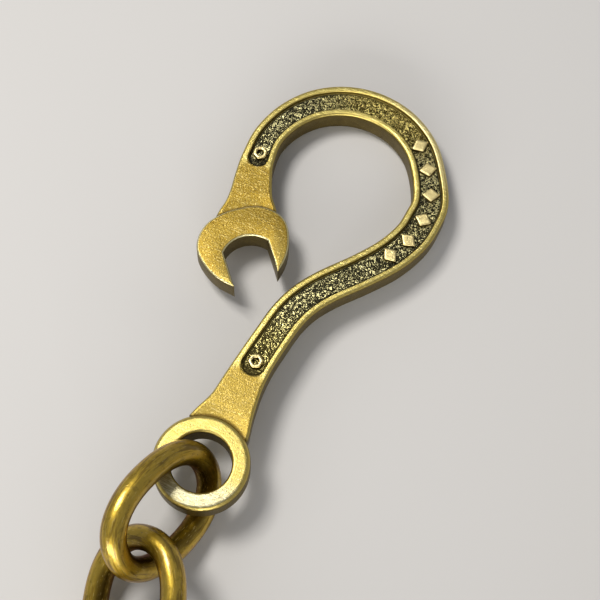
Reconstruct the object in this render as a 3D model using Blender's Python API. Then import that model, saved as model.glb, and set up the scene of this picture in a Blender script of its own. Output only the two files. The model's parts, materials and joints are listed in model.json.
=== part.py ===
"""Brass wallet chain: a cast hook in the shape of an open-end wrench, a cable chain and a bolt snap.

Metres, +Z up, lying on the table plane z = 0. Run in Blender 4.5.
"""

import math

import bmesh
import bpy
from mathutils import Matrix, Vector

MM = 0.001

# The cast hook. In its own frame the eye's centre is the origin and the bowl's centre is on +Y.
BOWL_CENTRE = 63.9 * MM
STRAP_THICK = 5.4 * MM
STRAP_CHAMFER = 0.35 * MM
BOSS_THICK = 5.6 * MM  # the jaw head and the eye stand a little proud of the strap
BOSS_CHAMFER = 0.45 * MM
HEAD_CENTRE = Vector((-11.8 * MM, 43.0 * MM))
HEAD_RADII = (8.9, 9.05, 9.6, 8.8, 7.7, 7.75, 8.6, 9.2, 8.85, 9.0, 9.5, 9.15)  # mm, every 30 degrees
JAW_WIDTH = 9.0 * MM
JAW_ANGLE = math.radians(-48.4)  # the way the jaw opens
JAW_THROAT = Vector((-11.1 * MM, 42.6 * MM))  # midway between the inner ends of the two flats
JAW_THROAT_DEPTH = 2.15 * MM
JAW_REACH = 9.6 * MM  # past the jaw tips and short of the shank
EYE_RADIUS = 9.2 * MM
EYE_HOLE_RADIUS = 5.75 * MM
CHANNEL_DEPTH = 0.9 * MM
CHANNEL_ENDS = (13.4 * MM, 13.6 * MM)  # from the jaw end and from the eye end of the band
CHANNEL_STEPS = 64
RIM_WIDTH = 1.3 * MM
LOZENGE = (3.1 * MM, 3.7 * MM)  # along and across the channel
LOZENGE_ANGLES = (51, 33, 15, -3, -20, -35)  # round the bowl, degrees from +X
NUT_RADIUS = 1.55 * MM
NUT_BORE = 0.75 * MM
NUT_INSET = 3.2 * MM  # from the channel's rounded end to the middle of the nut mark
MARK_ROOT = 0.4 * MM  # how far the raised marks reach into the channel's floor
MARK_TOP = 0.03 * MM  # how far their tops are below the rims

# The middle of the band, from inside the jaw head to inside the eye: x, y and width in mm, and round the
# bowl the angle from its centre, the radius and the width.
NECK = ((-13.0, 46.5, 13.0), (-13.85, 50.0, 11.2), (-15.0, 53.2, 8.7), (-16.4, 57.6, 7.4), (-17.2, 61.4, 6.7))
BOWL = (
    (170, 17.6, 6.3), (150, 17.7, 6.4), (130, 17.9, 6.6), (110, 18.0, 6.8),
    (90, 18.05, 6.9), (70, 18.05, 6.9), (50, 17.9, 6.9), (30, 17.7, 6.9),
)
SHANK = (
    (18.0, 67.3, 7.3), (18.2, 63.0, 7.5), (17.6, 58.6, 7.5), (15.3, 53.3, 7.4), (11.5, 47.9, 7.2),
    (6.7, 42.0, 7.1), (3.9, 37.5, 7.1), (2.3, 33.0, 7.1), (1.4, 27.5, 7.1), (0.7, 22.0, 7.3),
    (0.4, 17.0, 8.0), (0.4, 12.5, 9.2), (0.2, 8.8, 11.4), (0.0, 5.5, 13.6),
)
STEPS_PER_STATION = 4

# How the hook lies: its bowl on the table, its eye held up by the first link.
HOOK_HEADING = math.radians(-24.7)  # of the hook's +Y, about Z from world +Y
HOOK_TILT = math.radians(-4.0)
EYE_PLACE = Vector((-18.4 * MM, -35.0 * MM, 8.7 * MM))

# The chain: round wire bent into ovals.
WIRE = 4.8 * MM
LINK_LENGTH = 29.6 * MM  # outside
LINK_WIDTH = 22.9 * MM
LINK_SQUARENESS = 2.2  # 2 is an ellipse
LINK_SLACK = 1.0 * MM  # from one link's wire to the next
LINK_STEPS = 24
OVAL_STEPS = 480  # for measuring along the oval
WIRE_SIDES = 10
FIRST_LINK_PLACE = Vector((-25.12 * MM, -43.81 * MM, 11.57 * MM))
SECOND_LINK_BEARING = 34  # degrees: it hangs on the low side of the first link's crown
# Each link's heading in degrees from +X, how much its far end is lifted, and its roll about its length.
LINK_LIES = (
    (-130.8, 22.6, -52.6), (-100, -12, 32.4), (-88, 0, -48), (-72, 0, 45), (-54, 0, -45), (-36, 0, 45),
    (-17, 0, -45), (2, 0, 45), (21, 0, -45), (39, 0, 45), (57, 0, -45), (74, 0, 45), (88, 0, -45),
    (92, 0, 45), (90, 0, -42),
)

# The bolt snap. In its own frame it lies along +X from the middle of its swivel eye.
SWIVEL_RING = 6.4 * MM  # to the middle of its wire
SWIVEL_WIRE = 3.4 * MM
POST_RADIUS = 1.7 * MM
POST_HEAD_RADIUS = 2.8 * MM
POST_HEAD = (11.4 * MM, 12.8 * MM)
BARREL = (9.4 * MM, 29.0 * MM)
BARREL_RADIUS = 4.9 * MM
BARREL_BORE = 3.3 * MM
COLLAR_BORE = 2.1 * MM
COLLAR_END = 11.0 * MM
BOLT = (20.0 * MM, 37.4 * MM)
BOLT_RADIUS = 2.9 * MM
BOLT_NOSE_RADIUS = 1.9 * MM
BOLT_SHOULDER = (29.4 * MM, 30.4 * MM)
GATE_RADIUS = 3.0 * MM  # of the room cut in the hook's mouth for the bolt
SLOT_FLOOR = 1.5 * MM
STUD = 24.6 * MM  # where the thumb stud stands on the bolt
STUD_RADIUS = 1.1 * MM
STUD_HEAD_RADIUS = 2.3 * MM
STUD_HEIGHT = 7.4 * MM
BOLT_TRAVEL = 6.5 * MM
SNAP_HOOK_RADIUS = 8.4 * MM
SNAP_HOOK_CENTRE = Vector((36.6 * MM, -8.3 * MM, 0.0))
SNAP_HOOK_ARC = (155, 440)  # degrees, from the barrel round to the nose
SNAP_HOOK_WIRE = 2.5 * MM
SNAP_HOOK_ROOT = Vector((26.5 * MM, -2.2 * MM, 0.0))
SNAP_HOOK_ROOT_WIRE = 2.2 * MM
SNAP_HOOK_NOSE_WIRE = 2.1 * MM
STEP = 0.01 * MM  # the run of a square shoulder on a turned piece
SNAP_HEADING = math.radians(90)
SNAP_TILT = math.radians(4.4)  # its tail is held up by the chain
SNAP_HEIGHT = 7.2 * MM  # of the swivel eye's middle
SWIVEL_ROLL = math.radians(45)


def clear_scene():
    for obj in list(bpy.data.objects):
        bpy.data.objects.remove(obj, do_unlink=True)


def brass(name, colour, roughness):
    """A plain brass finish."""
    material = bpy.data.materials.new(name)
    material.use_nodes = True
    shader = material.node_tree.nodes["Principled BSDF"]
    shader.inputs["Base Color"].default_value = (*colour, 1.0)
    shader.inputs["Metallic"].default_value = 1.0
    shader.inputs["Roughness"].default_value = roughness
    return material


def mesh_from(name, points, faces):
    """A closed mesh from points and faces, with its normals outward."""
    mesh = bpy.data.meshes.new(name)
    mesh.from_pydata([tuple(p) for p in points], [], faces)
    shape = bmesh.new()
    shape.from_mesh(mesh)
    bmesh.ops.recalc_face_normals(shape, faces=shape.faces)
    shape.to_mesh(mesh)
    shape.free()
    return mesh


def add_object(name, mesh, matrix=None, parent=None):
    obj = bpy.data.objects.new(name, mesh)
    bpy.context.scene.collection.objects.link(obj)
    obj.parent = parent or bpy.data.objects.get("assembly")
    if matrix is not None:
        obj.matrix_local = matrix
    return obj


def add_helper(name, mesh, owner):
    """A solid that is only added to, or cut from, its owner."""
    helper = add_object(name, mesh, parent=owner)
    helper.hide_render = True
    helper.display_type = "WIRE"
    return helper


def combine(owner, mesh, operation):
    helper = add_helper(f"{owner.name}_{mesh.name}", mesh, owner)
    modifier = owner.modifiers.new(mesh.name, "BOOLEAN")
    modifier.operation = operation
    modifier.solver = "EXACT"
    modifier.object = helper


def loft(name, rings, closed=False):
    """A skin over rings of points. Open lofts get flat ends; closed ones join last to first."""
    count = len(rings[0])
    points = [p for ring in rings for p in ring]
    spans = len(rings) if closed else len(rings) - 1
    faces = []
    for i in range(spans):
        here = i * count
        there = (i + 1) % len(rings) * count
        for k in range(count):
            after = (k + 1) % count
            faces.append((here + k, here + after, there + after, there + k))
    if not closed:
        faces.append(tuple(reversed(range(count))))
        faces.append(tuple(range((len(rings) - 1) * count, len(rings) * count)))
    return mesh_from(name, points, faces)


def smooth_through(points, steps, cyclic=False):
    """A Catmull-Rom curve through tuples of any length."""
    count = len(points)
    spans = count if cyclic else count - 1
    out = []
    for i in range(spans):
        if cyclic:
            p = [points[(i + k) % count] for k in (-1, 0, 1, 2)]
        else:
            p = [points[min(max(i + k, 0), count - 1)] for k in (-1, 0, 1, 2)]
        for step in range(steps):
            t = step / steps
            weights = (
                (-t + 2 * t**2 - t**3) / 2,
                (2 - 5 * t**2 + 3 * t**3) / 2,
                (t + 4 * t**2 - 3 * t**3) / 2,
                (-(t**2) + t**3) / 2,
            )
            out.append(tuple(sum(w * q[n] for w, q in zip(weights, p)) for n in range(len(p[0]))))
    if not cyclic:
        out.append(tuple(points[-1]))
    return out


def band_middle():
    """Points, widths and lengths along the middle of the hook's band."""
    stations = [(x * MM, y * MM, w * MM) for x, y, w in NECK]
    for degrees, radius, width in BOWL:
        a = math.radians(degrees)
        x = radius * MM * math.cos(a)
        y = BOWL_CENTRE + radius * MM * math.sin(a)
        stations.append((x, y, width * MM))
    stations += [(x * MM, y * MM, w * MM) for x, y, w in SHANK]
    dense = smooth_through(stations, STEPS_PER_STATION)
    points = [Vector(s[:2]) for s in dense]
    widths = [s[2] for s in dense]
    lengths = [0.0]
    for before, point in zip(points, points[1:]):
        lengths.append(lengths[-1] + (point - before).length)
    return points, widths, lengths


def at_length(band, length):
    """The band's middle, its direction and its width at a length along it."""
    points, widths, lengths = band
    for i in range(1, len(points)):
        if lengths[i] >= length or i == len(points) - 1:
            t = (length - lengths[i - 1]) / (lengths[i] - lengths[i - 1])
            t = min(max(t, 0.0), 1.0)
            middle = points[i - 1].lerp(points[i], t)
            along = (points[i] - points[i - 1]).normalized()
            width = widths[i - 1] * (1 - t) + widths[i] * t
            return middle, along, width
    return None


def ribbon(name, stations, low, high, chamfer=0.0):
    """A solid that follows stations of (middle, direction, half width) between two heights."""
    rings = []
    for middle, along, half in stations:
        across = Vector((-along.y, along.x))
        if chamfer:
            section = (
                (-half, low + chamfer), (-half + chamfer, low), (half - chamfer, low), (half, low + chamfer),
                (half, high - chamfer), (half - chamfer, high),
                (-half + chamfer, high), (-half, high - chamfer),
            )
        else:
            section = ((-half, low), (half, low), (half, high), (-half, high))
        rings.append([(*(middle + across * a), z) for a, z in section])
    return loft(name, rings)


def strap_mesh(band):
    points, widths, _ = band
    stations = []
    for i, point in enumerate(points):
        before = points[max(i - 1, 0)]
        after = points[min(i + 1, len(points) - 1)]
        stations.append((point, (after - before).normalized(), widths[i] / 2))
    return ribbon("strap", stations, -STRAP_THICK / 2, STRAP_THICK / 2, STRAP_CHAMFER)


def channel_mesh(name, band, low, high):
    """The sunk panel between the rims, with a round end near the jaw and one near the eye."""
    start = CHANNEL_ENDS[0]
    end = band[2][-1] - CHANNEL_ENDS[1]
    crowding = 0.35  # of the stations towards the two round ends
    inset = 0.0005  # keeps the end stations from closing to a point
    stations = []
    for i in range(CHANNEL_STEPS + 1):
        even = i / CHANNEL_STEPS
        t = (1 - math.cos(math.pi * even)) / 2 * crowding + even * (1 - crowding)
        length = start + (end - start) * min(max(t, inset), 1 - inset)
        middle, along, width = at_length(band, length)
        half = width / 2 - RIM_WIDTH
        short = max(half - (length - start), half - (end - length), 0.0)
        stations.append((middle, along, math.sqrt(max(half**2 - short**2, (0.2 * MM) ** 2))))
    return ribbon(name, stations, low, high)


def boss_mesh(name, centre, radii, thick, chamfer):
    """A flat boss with a chamfered edge. Its outline is a radius for each step round its centre."""
    top = thick / 2
    levels = ((-top, -chamfer), (-top + chamfer, 0.0), (top - chamfer, 0.0), (top, -chamfer))
    rings = []
    for z, inset in levels:
        ring = []
        for i, radius in enumerate(radii):
            a = 2 * math.pi * i / len(radii)
            reach = radius + inset
            ring.append((centre.x + reach * math.cos(a), centre.y + reach * math.sin(a), z))
        rings.append(ring)
    return loft(name, rings)


def prism_mesh(name, outline, low, high):
    return loft(name, [[(x, y, z) for x, y in outline] for z in (low, high)])


def jaw_outline():
    """The gap between the jaw flats, with its shallow round throat."""
    out = Vector((math.cos(JAW_ANGLE), math.sin(JAW_ANGLE)))
    side = Vector((-out.y, out.x))
    half = JAW_WIDTH / 2
    radius = (half**2 + JAW_THROAT_DEPTH**2) / (2 * JAW_THROAT_DEPTH)
    reach = math.asin(half / radius)
    steps = 12
    outline = []
    for i in range(steps + 1):
        a = reach * (1 - 2 * i / steps)
        depth = radius * math.cos(a) - (radius - JAW_THROAT_DEPTH)
        outline.append(JAW_THROAT + side * radius * math.sin(a) - out * depth)
    outline.append(JAW_THROAT - side * half + out * JAW_REACH)
    outline.append(JAW_THROAT + side * half + out * JAW_REACH)
    return outline


def lozenge_outline(band, degrees):
    """A lozenge across the channel, where a line from the bowl's centre meets the middle of the band."""
    points = band[0]
    centre = Vector((0.0, BOWL_CENTRE))
    way = Vector((math.cos(math.radians(degrees)), math.sin(math.radians(degrees))))
    nearest = max(range(len(points)), key=lambda i: (points[i] - centre).normalized().dot(way))
    middle = centre + way * (points[nearest] - centre).length
    along = (points[nearest + 1] - points[nearest - 1]).normalized()
    across = Vector((-along.y, along.x))
    a, b = LOZENGE[0] / 2, LOZENGE[1] / 2
    return [middle + along * a, middle + across * b, middle - along * a, middle - across * b]


def nut_mark_mesh(name, middle, turn, low, high):
    """A raised hexagon ring, like a nut seen from above."""
    rings = []
    for radius, z in ((NUT_RADIUS, low), (NUT_RADIUS, high), (NUT_BORE, high), (NUT_BORE, low)):
        ring = []
        for i in range(6):
            a = turn + math.pi * i / 3
            ring.append((middle.x + radius * math.cos(a), middle.y + radius * math.sin(a), z))
        rings.append(ring)
    return loft(name, rings, closed=True)


def build_hook(material):
    band = band_middle()
    turn = Matrix.Rotation(HOOK_HEADING, 4, "Z") @ Matrix.Rotation(HOOK_TILT, 4, "X")
    hook = add_object("wrench_hook", strap_mesh(band), Matrix.Translation(EYE_PLACE) @ turn)
    hook.data.materials.append(material)

    face = STRAP_THICK / 2
    floor = face - CHANNEL_DEPTH
    combine(hook, channel_mesh("channel_front", band, floor, face + 1 * MM), "DIFFERENCE")
    combine(hook, channel_mesh("channel_back", band, -face - 1 * MM, -floor), "DIFFERENCE")

    mark_low = floor - MARK_ROOT
    mark_high = face - MARK_TOP
    for i, degrees in enumerate(LOZENGE_ANGLES):
        outline = lozenge_outline(band, degrees)
        combine(hook, prism_mesh(f"lozenge_{i + 1}", outline, mark_low, mark_high), "UNION")
    total = band[2][-1]
    ends = (CHANNEL_ENDS[0] + NUT_INSET, total - CHANNEL_ENDS[1] - NUT_INSET)
    for i, length in enumerate(ends):
        middle, along, _ = at_length(band, length)
        turn = math.atan2(along.y, along.x)
        combine(hook, nut_mark_mesh(f"nut_{i + 1}", middle, turn, mark_low, mark_high), "UNION")

    radii = [r[0] * MM for r in smooth_through([(r,) for r in HEAD_RADII], 4, cyclic=True)]
    combine(hook, boss_mesh("jaw_head", HEAD_CENTRE, radii, BOSS_THICK, BOSS_CHAMFER), "UNION")
    combine(hook, boss_mesh("eye", Vector((0, 0)), [EYE_RADIUS] * 56, BOSS_THICK, BOSS_CHAMFER), "UNION")
    combine(hook, prism_mesh("jaw_gap", jaw_outline(), -BOSS_THICK, BOSS_THICK), "DIFFERENCE")
    hole = boss_mesh("eye_hole", Vector((0, 0)), [EYE_HOLE_RADIUS] * 40, 2 * BOSS_THICK, 0.0)
    combine(hook, hole, "DIFFERENCE")


def oval_point(along, across):
    """The middle of a link's wire: the point of the oval in the direction (along, across) from its centre."""
    a, b = (LINK_LENGTH - WIRE) / 2, (LINK_WIDTH - WIRE) / 2
    size = (abs(along / a) ** LINK_SQUARENESS + abs(across / b) ** LINK_SQUARENESS) ** (-1 / LINK_SQUARENESS)
    return Vector((along * size, across * size, 0.0))


def oval_path():
    """Even steps along the middle of a link's wire, from its far crown round."""
    fine = []
    for i in range(OVAL_STEPS + 1):
        a = 2 * math.pi * i / OVAL_STEPS
        fine.append(oval_point(math.cos(a), math.sin(a)))
    run = [0.0]
    for before, after in zip(fine, fine[1:]):
        run.append(run[-1] + (after - before).length)
    path = []
    for i in range(LINK_STEPS):
        k = min(range(OVAL_STEPS), key=lambda n: abs(run[n] - run[-1] * i / LINK_STEPS))
        path.append(fine[k])
    return path


def tube_mesh(name, path, radii, sides, closed):
    """Round wire along a path that stays in the XY plane."""
    rings = []
    count = len(path)
    for i, point in enumerate(path):
        before = path[(i - 1) % count] if closed else path[max(i - 1, 0)]
        after = path[(i + 1) % count] if closed else path[min(i + 1, count - 1)]
        along = (after - before).normalized()
        across = Vector((-along.y, along.x, 0.0))
        ring = []
        for k in range(sides):
            a = 2 * math.pi * (k + 0.5) / sides
            ring.append(point + across * radii[i] * math.cos(a) + Vector((0, 0, radii[i] * math.sin(a))))
        rings.append(ring)
    return loft(name, rings, closed)


def link_frames():
    """Each link's place: +X along it, +Y across it, at its middle."""
    reach = (LINK_LENGTH - WIRE) / 2
    place = FIRST_LINK_PLACE
    frames = []
    for i, (heading, lift, roll) in enumerate(LINK_LIES):
        turn = Matrix.Rotation(math.radians(heading), 4, "Z") @ Matrix.Rotation(math.radians(-lift), 4, "Y")
        turn = turn @ Matrix.Rotation(math.radians(roll), 4, "X")
        if i:
            held = oval_point(reach, 0.0)
            if i == 1:
                held = oval_point(1.0, math.tan(math.radians(SECOND_LINK_BEARING)))
            crown = frames[-1] @ held
            along = turn @ Vector((1, 0, 0))
            place = crown + along * (reach - WIRE - LINK_SLACK)
        if i > 1:
            rest = (LINK_WIDTH - WIRE) / 2 * abs(math.sin(math.radians(roll))) + WIRE / 2
            place.z = max(rest, place.z + (rest - place.z) * 0.5)
        frames.append(Matrix.Translation(place) @ turn)
    return frames


def build_chain(frames, materials):
    """A closed ring of wire for every link, each threaded through the one before it."""
    path = oval_path()
    mesh = tube_mesh("link", path, [WIRE / 2] * len(path), WIRE_SIDES, True)
    for i, frame in enumerate(frames):
        link = add_object(f"chain_link_{i + 1:02d}", mesh.copy(), frame)
        link.data.materials.append(materials[i % len(materials)])


def turned_mesh(name, profile, sides):
    """A solid of revolution about X from (x, radius) pairs."""
    rings = []
    for x, radius in profile:
        rings.append([
            (x, radius * math.cos(2 * math.pi * k / sides), radius * math.sin(2 * math.pi * k / sides))
            for k in range(sides)
        ])
    return loft(name, rings)


def upright_mesh(name, x, profile, sides):
    """A solid of revolution about an upright line at x, from (height, radius) pairs."""
    rings = []
    for z, radius in profile:
        rings.append([
            (x + radius * math.cos(2 * math.pi * k / sides), radius * math.sin(2 * math.pi * k / sides), z)
            for k in range(sides)
        ])
    return loft(name, rings)


def build_swivel_eye(frame, material):
    count = 24
    path = []
    for i in range(count):
        a = 2 * math.pi * i / count
        path.append(Vector((SWIVEL_RING * math.cos(a), SWIVEL_RING * math.sin(a), 0.0)))
    ring = tube_mesh("ring", path, [SWIVEL_WIRE / 2] * count, 8, True)
    eye = add_object("swivel_eye", ring, frame)
    eye.data.materials.append(material)
    profile = (
        (SWIVEL_RING - 0.4 * MM, POST_RADIUS), (POST_HEAD[0], POST_RADIUS),
        (POST_HEAD[0] + STEP, POST_HEAD_RADIUS), (POST_HEAD[1], POST_HEAD_RADIUS),
    )
    combine(eye, turned_mesh("post", profile, 16), "UNION")


def build_snap_body(frame, material):
    start, end = BARREL
    edge = 0.5 * MM
    profile = (
        (start, BARREL_RADIUS - edge), (start + edge, BARREL_RADIUS),
        (end - edge, BARREL_RADIUS), (end, BARREL_RADIUS - edge),
    )
    body = add_object("snap_body", turned_mesh("barrel", profile, 24), frame)
    body.data.materials.append(material)

    steps = 18
    path = [SNAP_HOOK_ROOT]
    for i in range(steps + 1):
        a = math.radians(SNAP_HOOK_ARC[0] + (SNAP_HOOK_ARC[1] - SNAP_HOOK_ARC[0]) * i / steps)
        path.append(SNAP_HOOK_CENTRE + SNAP_HOOK_RADIUS * Vector((math.cos(a), math.sin(a), 0.0)))
    radii = [SNAP_HOOK_WIRE] * len(path)
    radii[0] = SNAP_HOOK_ROOT_WIRE
    radii[-1] = SNAP_HOOK_NOSE_WIRE
    combine(body, tube_mesh("hook", path, radii, 10, False), "UNION")

    bores = (
        (start - 1 * MM, COLLAR_BORE), (COLLAR_END, COLLAR_BORE),
        (COLLAR_END + STEP, BARREL_BORE), (end + 2.0 * MM, BARREL_BORE),
    )
    combine(body, turned_mesh("bore", bores, 20), "DIFFERENCE")
    gate = ((end - edge, GATE_RADIUS), (BOLT[1] + 0.3 * MM, GATE_RADIUS))
    combine(body, turned_mesh("gate", gate, 20), "DIFFERENCE")
    half = STUD_RADIUS + 0.35 * MM
    slot = [
        (STUD - BOLT_TRAVEL - half, -half), (STUD + half, -half),
        (STUD + half, half), (STUD - BOLT_TRAVEL - half, half),
    ]
    combine(body, prism_mesh("slot", slot, SLOT_FLOOR, BARREL_RADIUS + 2 * MM), "DIFFERENCE")


def build_snap_bolt(frame, material):
    back, tip = BOLT
    profile = (
        (back, BOLT_RADIUS - 0.3 * MM), (back + 0.3 * MM, BOLT_RADIUS),
        (BOLT_SHOULDER[0], BOLT_RADIUS), (BOLT_SHOULDER[1], BOLT_NOSE_RADIUS),
        (tip - 0.5 * MM, BOLT_NOSE_RADIUS), (tip, BOLT_NOSE_RADIUS - 0.5 * MM),
    )
    bolt = add_object("snap_bolt", turned_mesh("bolt", profile, 20), frame)
    bolt.data.materials.append(material)
    socket = ((-0.2 * MM, STUD_RADIUS), (BOLT_RADIUS + 1 * MM, STUD_RADIUS))
    combine(bolt, upright_mesh("socket", STUD, socket, 16), "DIFFERENCE")


def build_thumb_stud(frame, material):
    pin = STUD_RADIUS - 0.3 * MM
    neck = BARREL_RADIUS + 0.4 * MM
    profile = (
        (0.2 * MM, pin), (neck, pin), (neck + STEP, STUD_HEAD_RADIUS - 0.3 * MM),
        (neck + 0.3 * MM, STUD_HEAD_RADIUS), (STUD_HEIGHT - 0.4 * MM, STUD_HEAD_RADIUS),
        (STUD_HEIGHT, STUD_HEAD_RADIUS - 0.5 * MM),
    )
    stud = add_object("thumb_stud", upright_mesh("stud", STUD, profile, 16), frame)
    stud.data.materials.append(material)


def centre_on_floor():
    """Moves the whole assembly so that the middle of its underside is the world origin."""
    bpy.context.view_layer.update()
    graph = bpy.context.evaluated_depsgraph_get()
    corners = []
    for obj in bpy.data.objects:
        if obj.type != "MESH" or obj.hide_render:
            continue
        evaluated = obj.evaluated_get(graph)
        corners += [evaluated.matrix_world @ v.co for v in evaluated.data.vertices]
    low = Vector([min(c[n] for c in corners) for n in range(3)])
    high = Vector([max(c[n] for c in corners) for n in range(3)])
    middle = (low + high) / 2
    bpy.data.objects["assembly"].location = -Vector((middle.x, middle.y, low.z))
    bpy.context.view_layer.update()


def main():
    clear_scene()
    assembly = bpy.data.objects.new("assembly", None)
    bpy.context.scene.collection.objects.link(assembly)
    cast = brass("cast_brass", (0.60, 0.42, 0.16), 0.38)
    wire = [
        brass("wire_brass", (0.50, 0.33, 0.10), 0.22),
        brass("wire_brass_worn", (0.54, 0.37, 0.12), 0.25),
    ]
    turned = brass("turned_brass", (0.62, 0.45, 0.18), 0.25)
    build_hook(cast)
    frames = link_frames()
    build_chain(frames, wire)
    crown = frames[-1] @ Vector(((LINK_LENGTH - WIRE) / 2, 0, 0))
    turn = Matrix.Rotation(SNAP_HEADING, 4, "Z") @ Matrix.Rotation(SNAP_TILT, 4, "Y")
    along = turn @ Vector((1, 0, 0))
    place = crown + along * (SWIVEL_RING - (WIRE + SWIVEL_WIRE) / 2 - LINK_SLACK)
    place.z = SNAP_HEIGHT
    frame = Matrix.Translation(place) @ turn
    build_swivel_eye(frame @ Matrix.Rotation(SWIVEL_ROLL, 4, "X"), turned)
    build_snap_body(frame, turned)
    build_snap_bolt(frame, wire[0])
    build_thumb_stud(frame, turned)
    centre_on_floor()


main()
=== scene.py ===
"""The looks of the brass wallet chain: the cast wrench hook, its oval links and the bolt snap.

Run by Blender 4.5 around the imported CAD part. Metres, +Z up. Local sizes are in mm.
"""

import json
import math

import bmesh
import bpy
import numpy as np
from mathutils import Matrix, Vector

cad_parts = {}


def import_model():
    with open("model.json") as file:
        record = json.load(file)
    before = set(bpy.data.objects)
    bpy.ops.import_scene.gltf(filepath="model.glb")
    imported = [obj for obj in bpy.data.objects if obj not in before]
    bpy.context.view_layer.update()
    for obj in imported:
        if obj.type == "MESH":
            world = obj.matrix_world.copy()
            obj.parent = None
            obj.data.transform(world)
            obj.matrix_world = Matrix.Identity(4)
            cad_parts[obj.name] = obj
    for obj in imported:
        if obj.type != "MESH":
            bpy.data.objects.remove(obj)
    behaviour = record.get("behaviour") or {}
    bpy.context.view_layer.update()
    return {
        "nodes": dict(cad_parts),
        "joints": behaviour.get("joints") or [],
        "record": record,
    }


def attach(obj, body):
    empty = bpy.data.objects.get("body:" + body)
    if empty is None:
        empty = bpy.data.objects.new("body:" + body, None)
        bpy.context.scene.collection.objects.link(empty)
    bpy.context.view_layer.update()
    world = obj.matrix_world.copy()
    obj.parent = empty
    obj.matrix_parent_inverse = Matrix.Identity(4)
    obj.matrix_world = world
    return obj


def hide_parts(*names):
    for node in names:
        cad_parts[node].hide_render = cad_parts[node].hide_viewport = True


MM = 0.001

# The cast hook in its own frame: the eye's centre is the origin and the bowl's centre is on +Y. The middle
# of its band is x, y and width, and round the bowl the angle from its centre, the radius and the width.
BOWL_CENTRE = 63.9
NECK = ((-13.0, 46.5, 13.0), (-13.85, 50.0, 11.2), (-15.0, 53.2, 8.7), (-16.4, 57.6, 7.4), (-17.2, 61.4, 6.7))
BOWL = (
    (170, 17.6, 6.3), (150, 17.7, 6.4), (130, 17.9, 6.6), (110, 18.0, 6.8),
    (90, 18.05, 6.9), (70, 18.05, 6.9), (50, 17.9, 6.9), (30, 17.7, 6.9),
)
SHANK = (
    (18.0, 67.3, 7.3), (18.2, 63.0, 7.5), (17.6, 58.6, 7.5), (15.3, 53.3, 7.4), (11.5, 47.9, 7.2),
    (6.7, 42.0, 7.1), (3.9, 37.5, 7.1), (2.3, 33.0, 7.1), (1.4, 27.5, 7.1), (0.7, 22.0, 7.3),
    (0.4, 17.0, 8.0), (0.4, 12.5, 9.2), (0.2, 8.8, 11.4), (0.0, 6.7, 12.2),
)
EYE_END_CUT = 1.2  # how much shorter this band is than the solid's, inside the eye
STRAP_THICK = 5.4
STRAP_EDGE = 0.62
STRAP_INSETS = (0, 0.04, 0.12, 0.24, 0.4, 0.58, 0.72, 0.9, 1.05, 1.17, 1.27, 1.36, 1.45, 1.55, 1.7)
STRAP_SAMPLES = 960
BOSS_DIP = 0.4  # how far the band's face sinks beside the eye and the jaw head
BOSS_DIP_REACH = 3.2
CHANNEL_DEPTH = 0.9
CHANNEL_ENDS = (13.4, 13.6 - EYE_END_CUT)
RIM_WIDTH = 1.3
BOSS_THICK = 5.6
HEAD_CENTRE = (-11.8, 43.0)
HEAD_RADII = (8.9, 9.05, 9.6, 8.8, 7.7, 7.75, 8.6, 9.2, 8.85, 9.0, 9.5, 9.15)
JAW_WIDTH = 9.0
JAW_ANGLE = math.radians(-48.4)
JAW_THROAT = (-11.1, 42.6)
JAW_THROAT_DEPTH = 2.15
JAW_EDGE = 0.5
EYE_RADIUS = 9.2
EYE_HOLE_RADIUS = 5.75
EYE_EDGES = (0.55, 1.0)  # round the hole and round the outside
LOZENGE = (3.1, 3.7)
LOZENGE_ANGLES = (51, 33, 15, -3, -20, -35)
NUT_RADIUS = 1.55
NUT_BORE = 0.75
NUT_INSET = 3.2
MARK_ROOT = 0.2  # how far the raised marks reach into the channel's floor
MARK_TOP = 0.02  # how far their tops are below the rims
MARK_EDGE = 0.22

# The link: round wire in an oval.
WIRE = 4.8
LINK_LENGTH = 29.6
LINK_WIDTH = 22.9
LINK_SQUARENESS = 2.2  # 2 is an ellipse
LINKS = 15

# The bolt snap, along its own X from the middle of its swivel ring.
SWIVEL_RING = 6.4
SWIVEL_WIRE = 3.4
SWIVEL_ROLL = math.radians(45)
POST_RADIUS = 1.7
POST_HEAD_RADIUS = 2.8
POST_HEAD = (11.4, 12.8)
BARREL = (9.4, 29.0)
BARREL_RADIUS = 4.9
BARREL_BORE = 3.3
COLLAR_BORE = 2.1
COLLAR_END = 11.0
BOLT = (20.0, 37.4)
BOLT_RADIUS = 2.9
BOLT_NOSE_RADIUS = 1.9
BOLT_TRAVEL = 6.5
STUD = 24.6
STUD_RADIUS = 1.1
STUD_HEAD_RADIUS = 2.3
STUD_HEIGHT = 7.4
SNAP_HOOK_RADIUS = 8.4
SNAP_HOOK_CENTRE = (36.6, -8.3)
SNAP_HOOK_ARC = (155, 440)
SNAP_HOOK_WIRE = 2.5

FLOOR = -0.4  # just under the lowest wire

# The view: looking down on the table from a little in front of the hook.
AIM_FROM_EYE = Vector((0.0184, 0.0350, 0.0))  # from the point of the table under the eye
CAMERA_DISTANCE = 0.280
CAMERA_LEAN = math.radians(17)  # from straight down
FIELD_OF_VIEW = math.radians(24.2)


def smooth_through(points, steps, cyclic=False):
    """A Catmull-Rom curve through points, as an array."""
    points = np.asarray(points, float)
    count = len(points)
    out = []
    for i in range(count if cyclic else count - 1):
        index = [i - 1, i, i + 1, i + 2]
        index = [k % count for k in index] if cyclic else [min(max(k, 0), count - 1) for k in index]
        p = points[index]
        t = np.arange(steps)[:, None] / steps
        out.append(
            (
                (-t + 2 * t**2 - t**3) * p[0]
                + (2 - 5 * t**2 + 3 * t**3) * p[1]
                + (t + 4 * t**2 - 3 * t**3) * p[2]
                + (-(t**2) + t**3) * p[3]
            )
            / 2
        )
    if not cyclic:
        out.append(points[-1:])
    return np.vstack(out)


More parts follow.
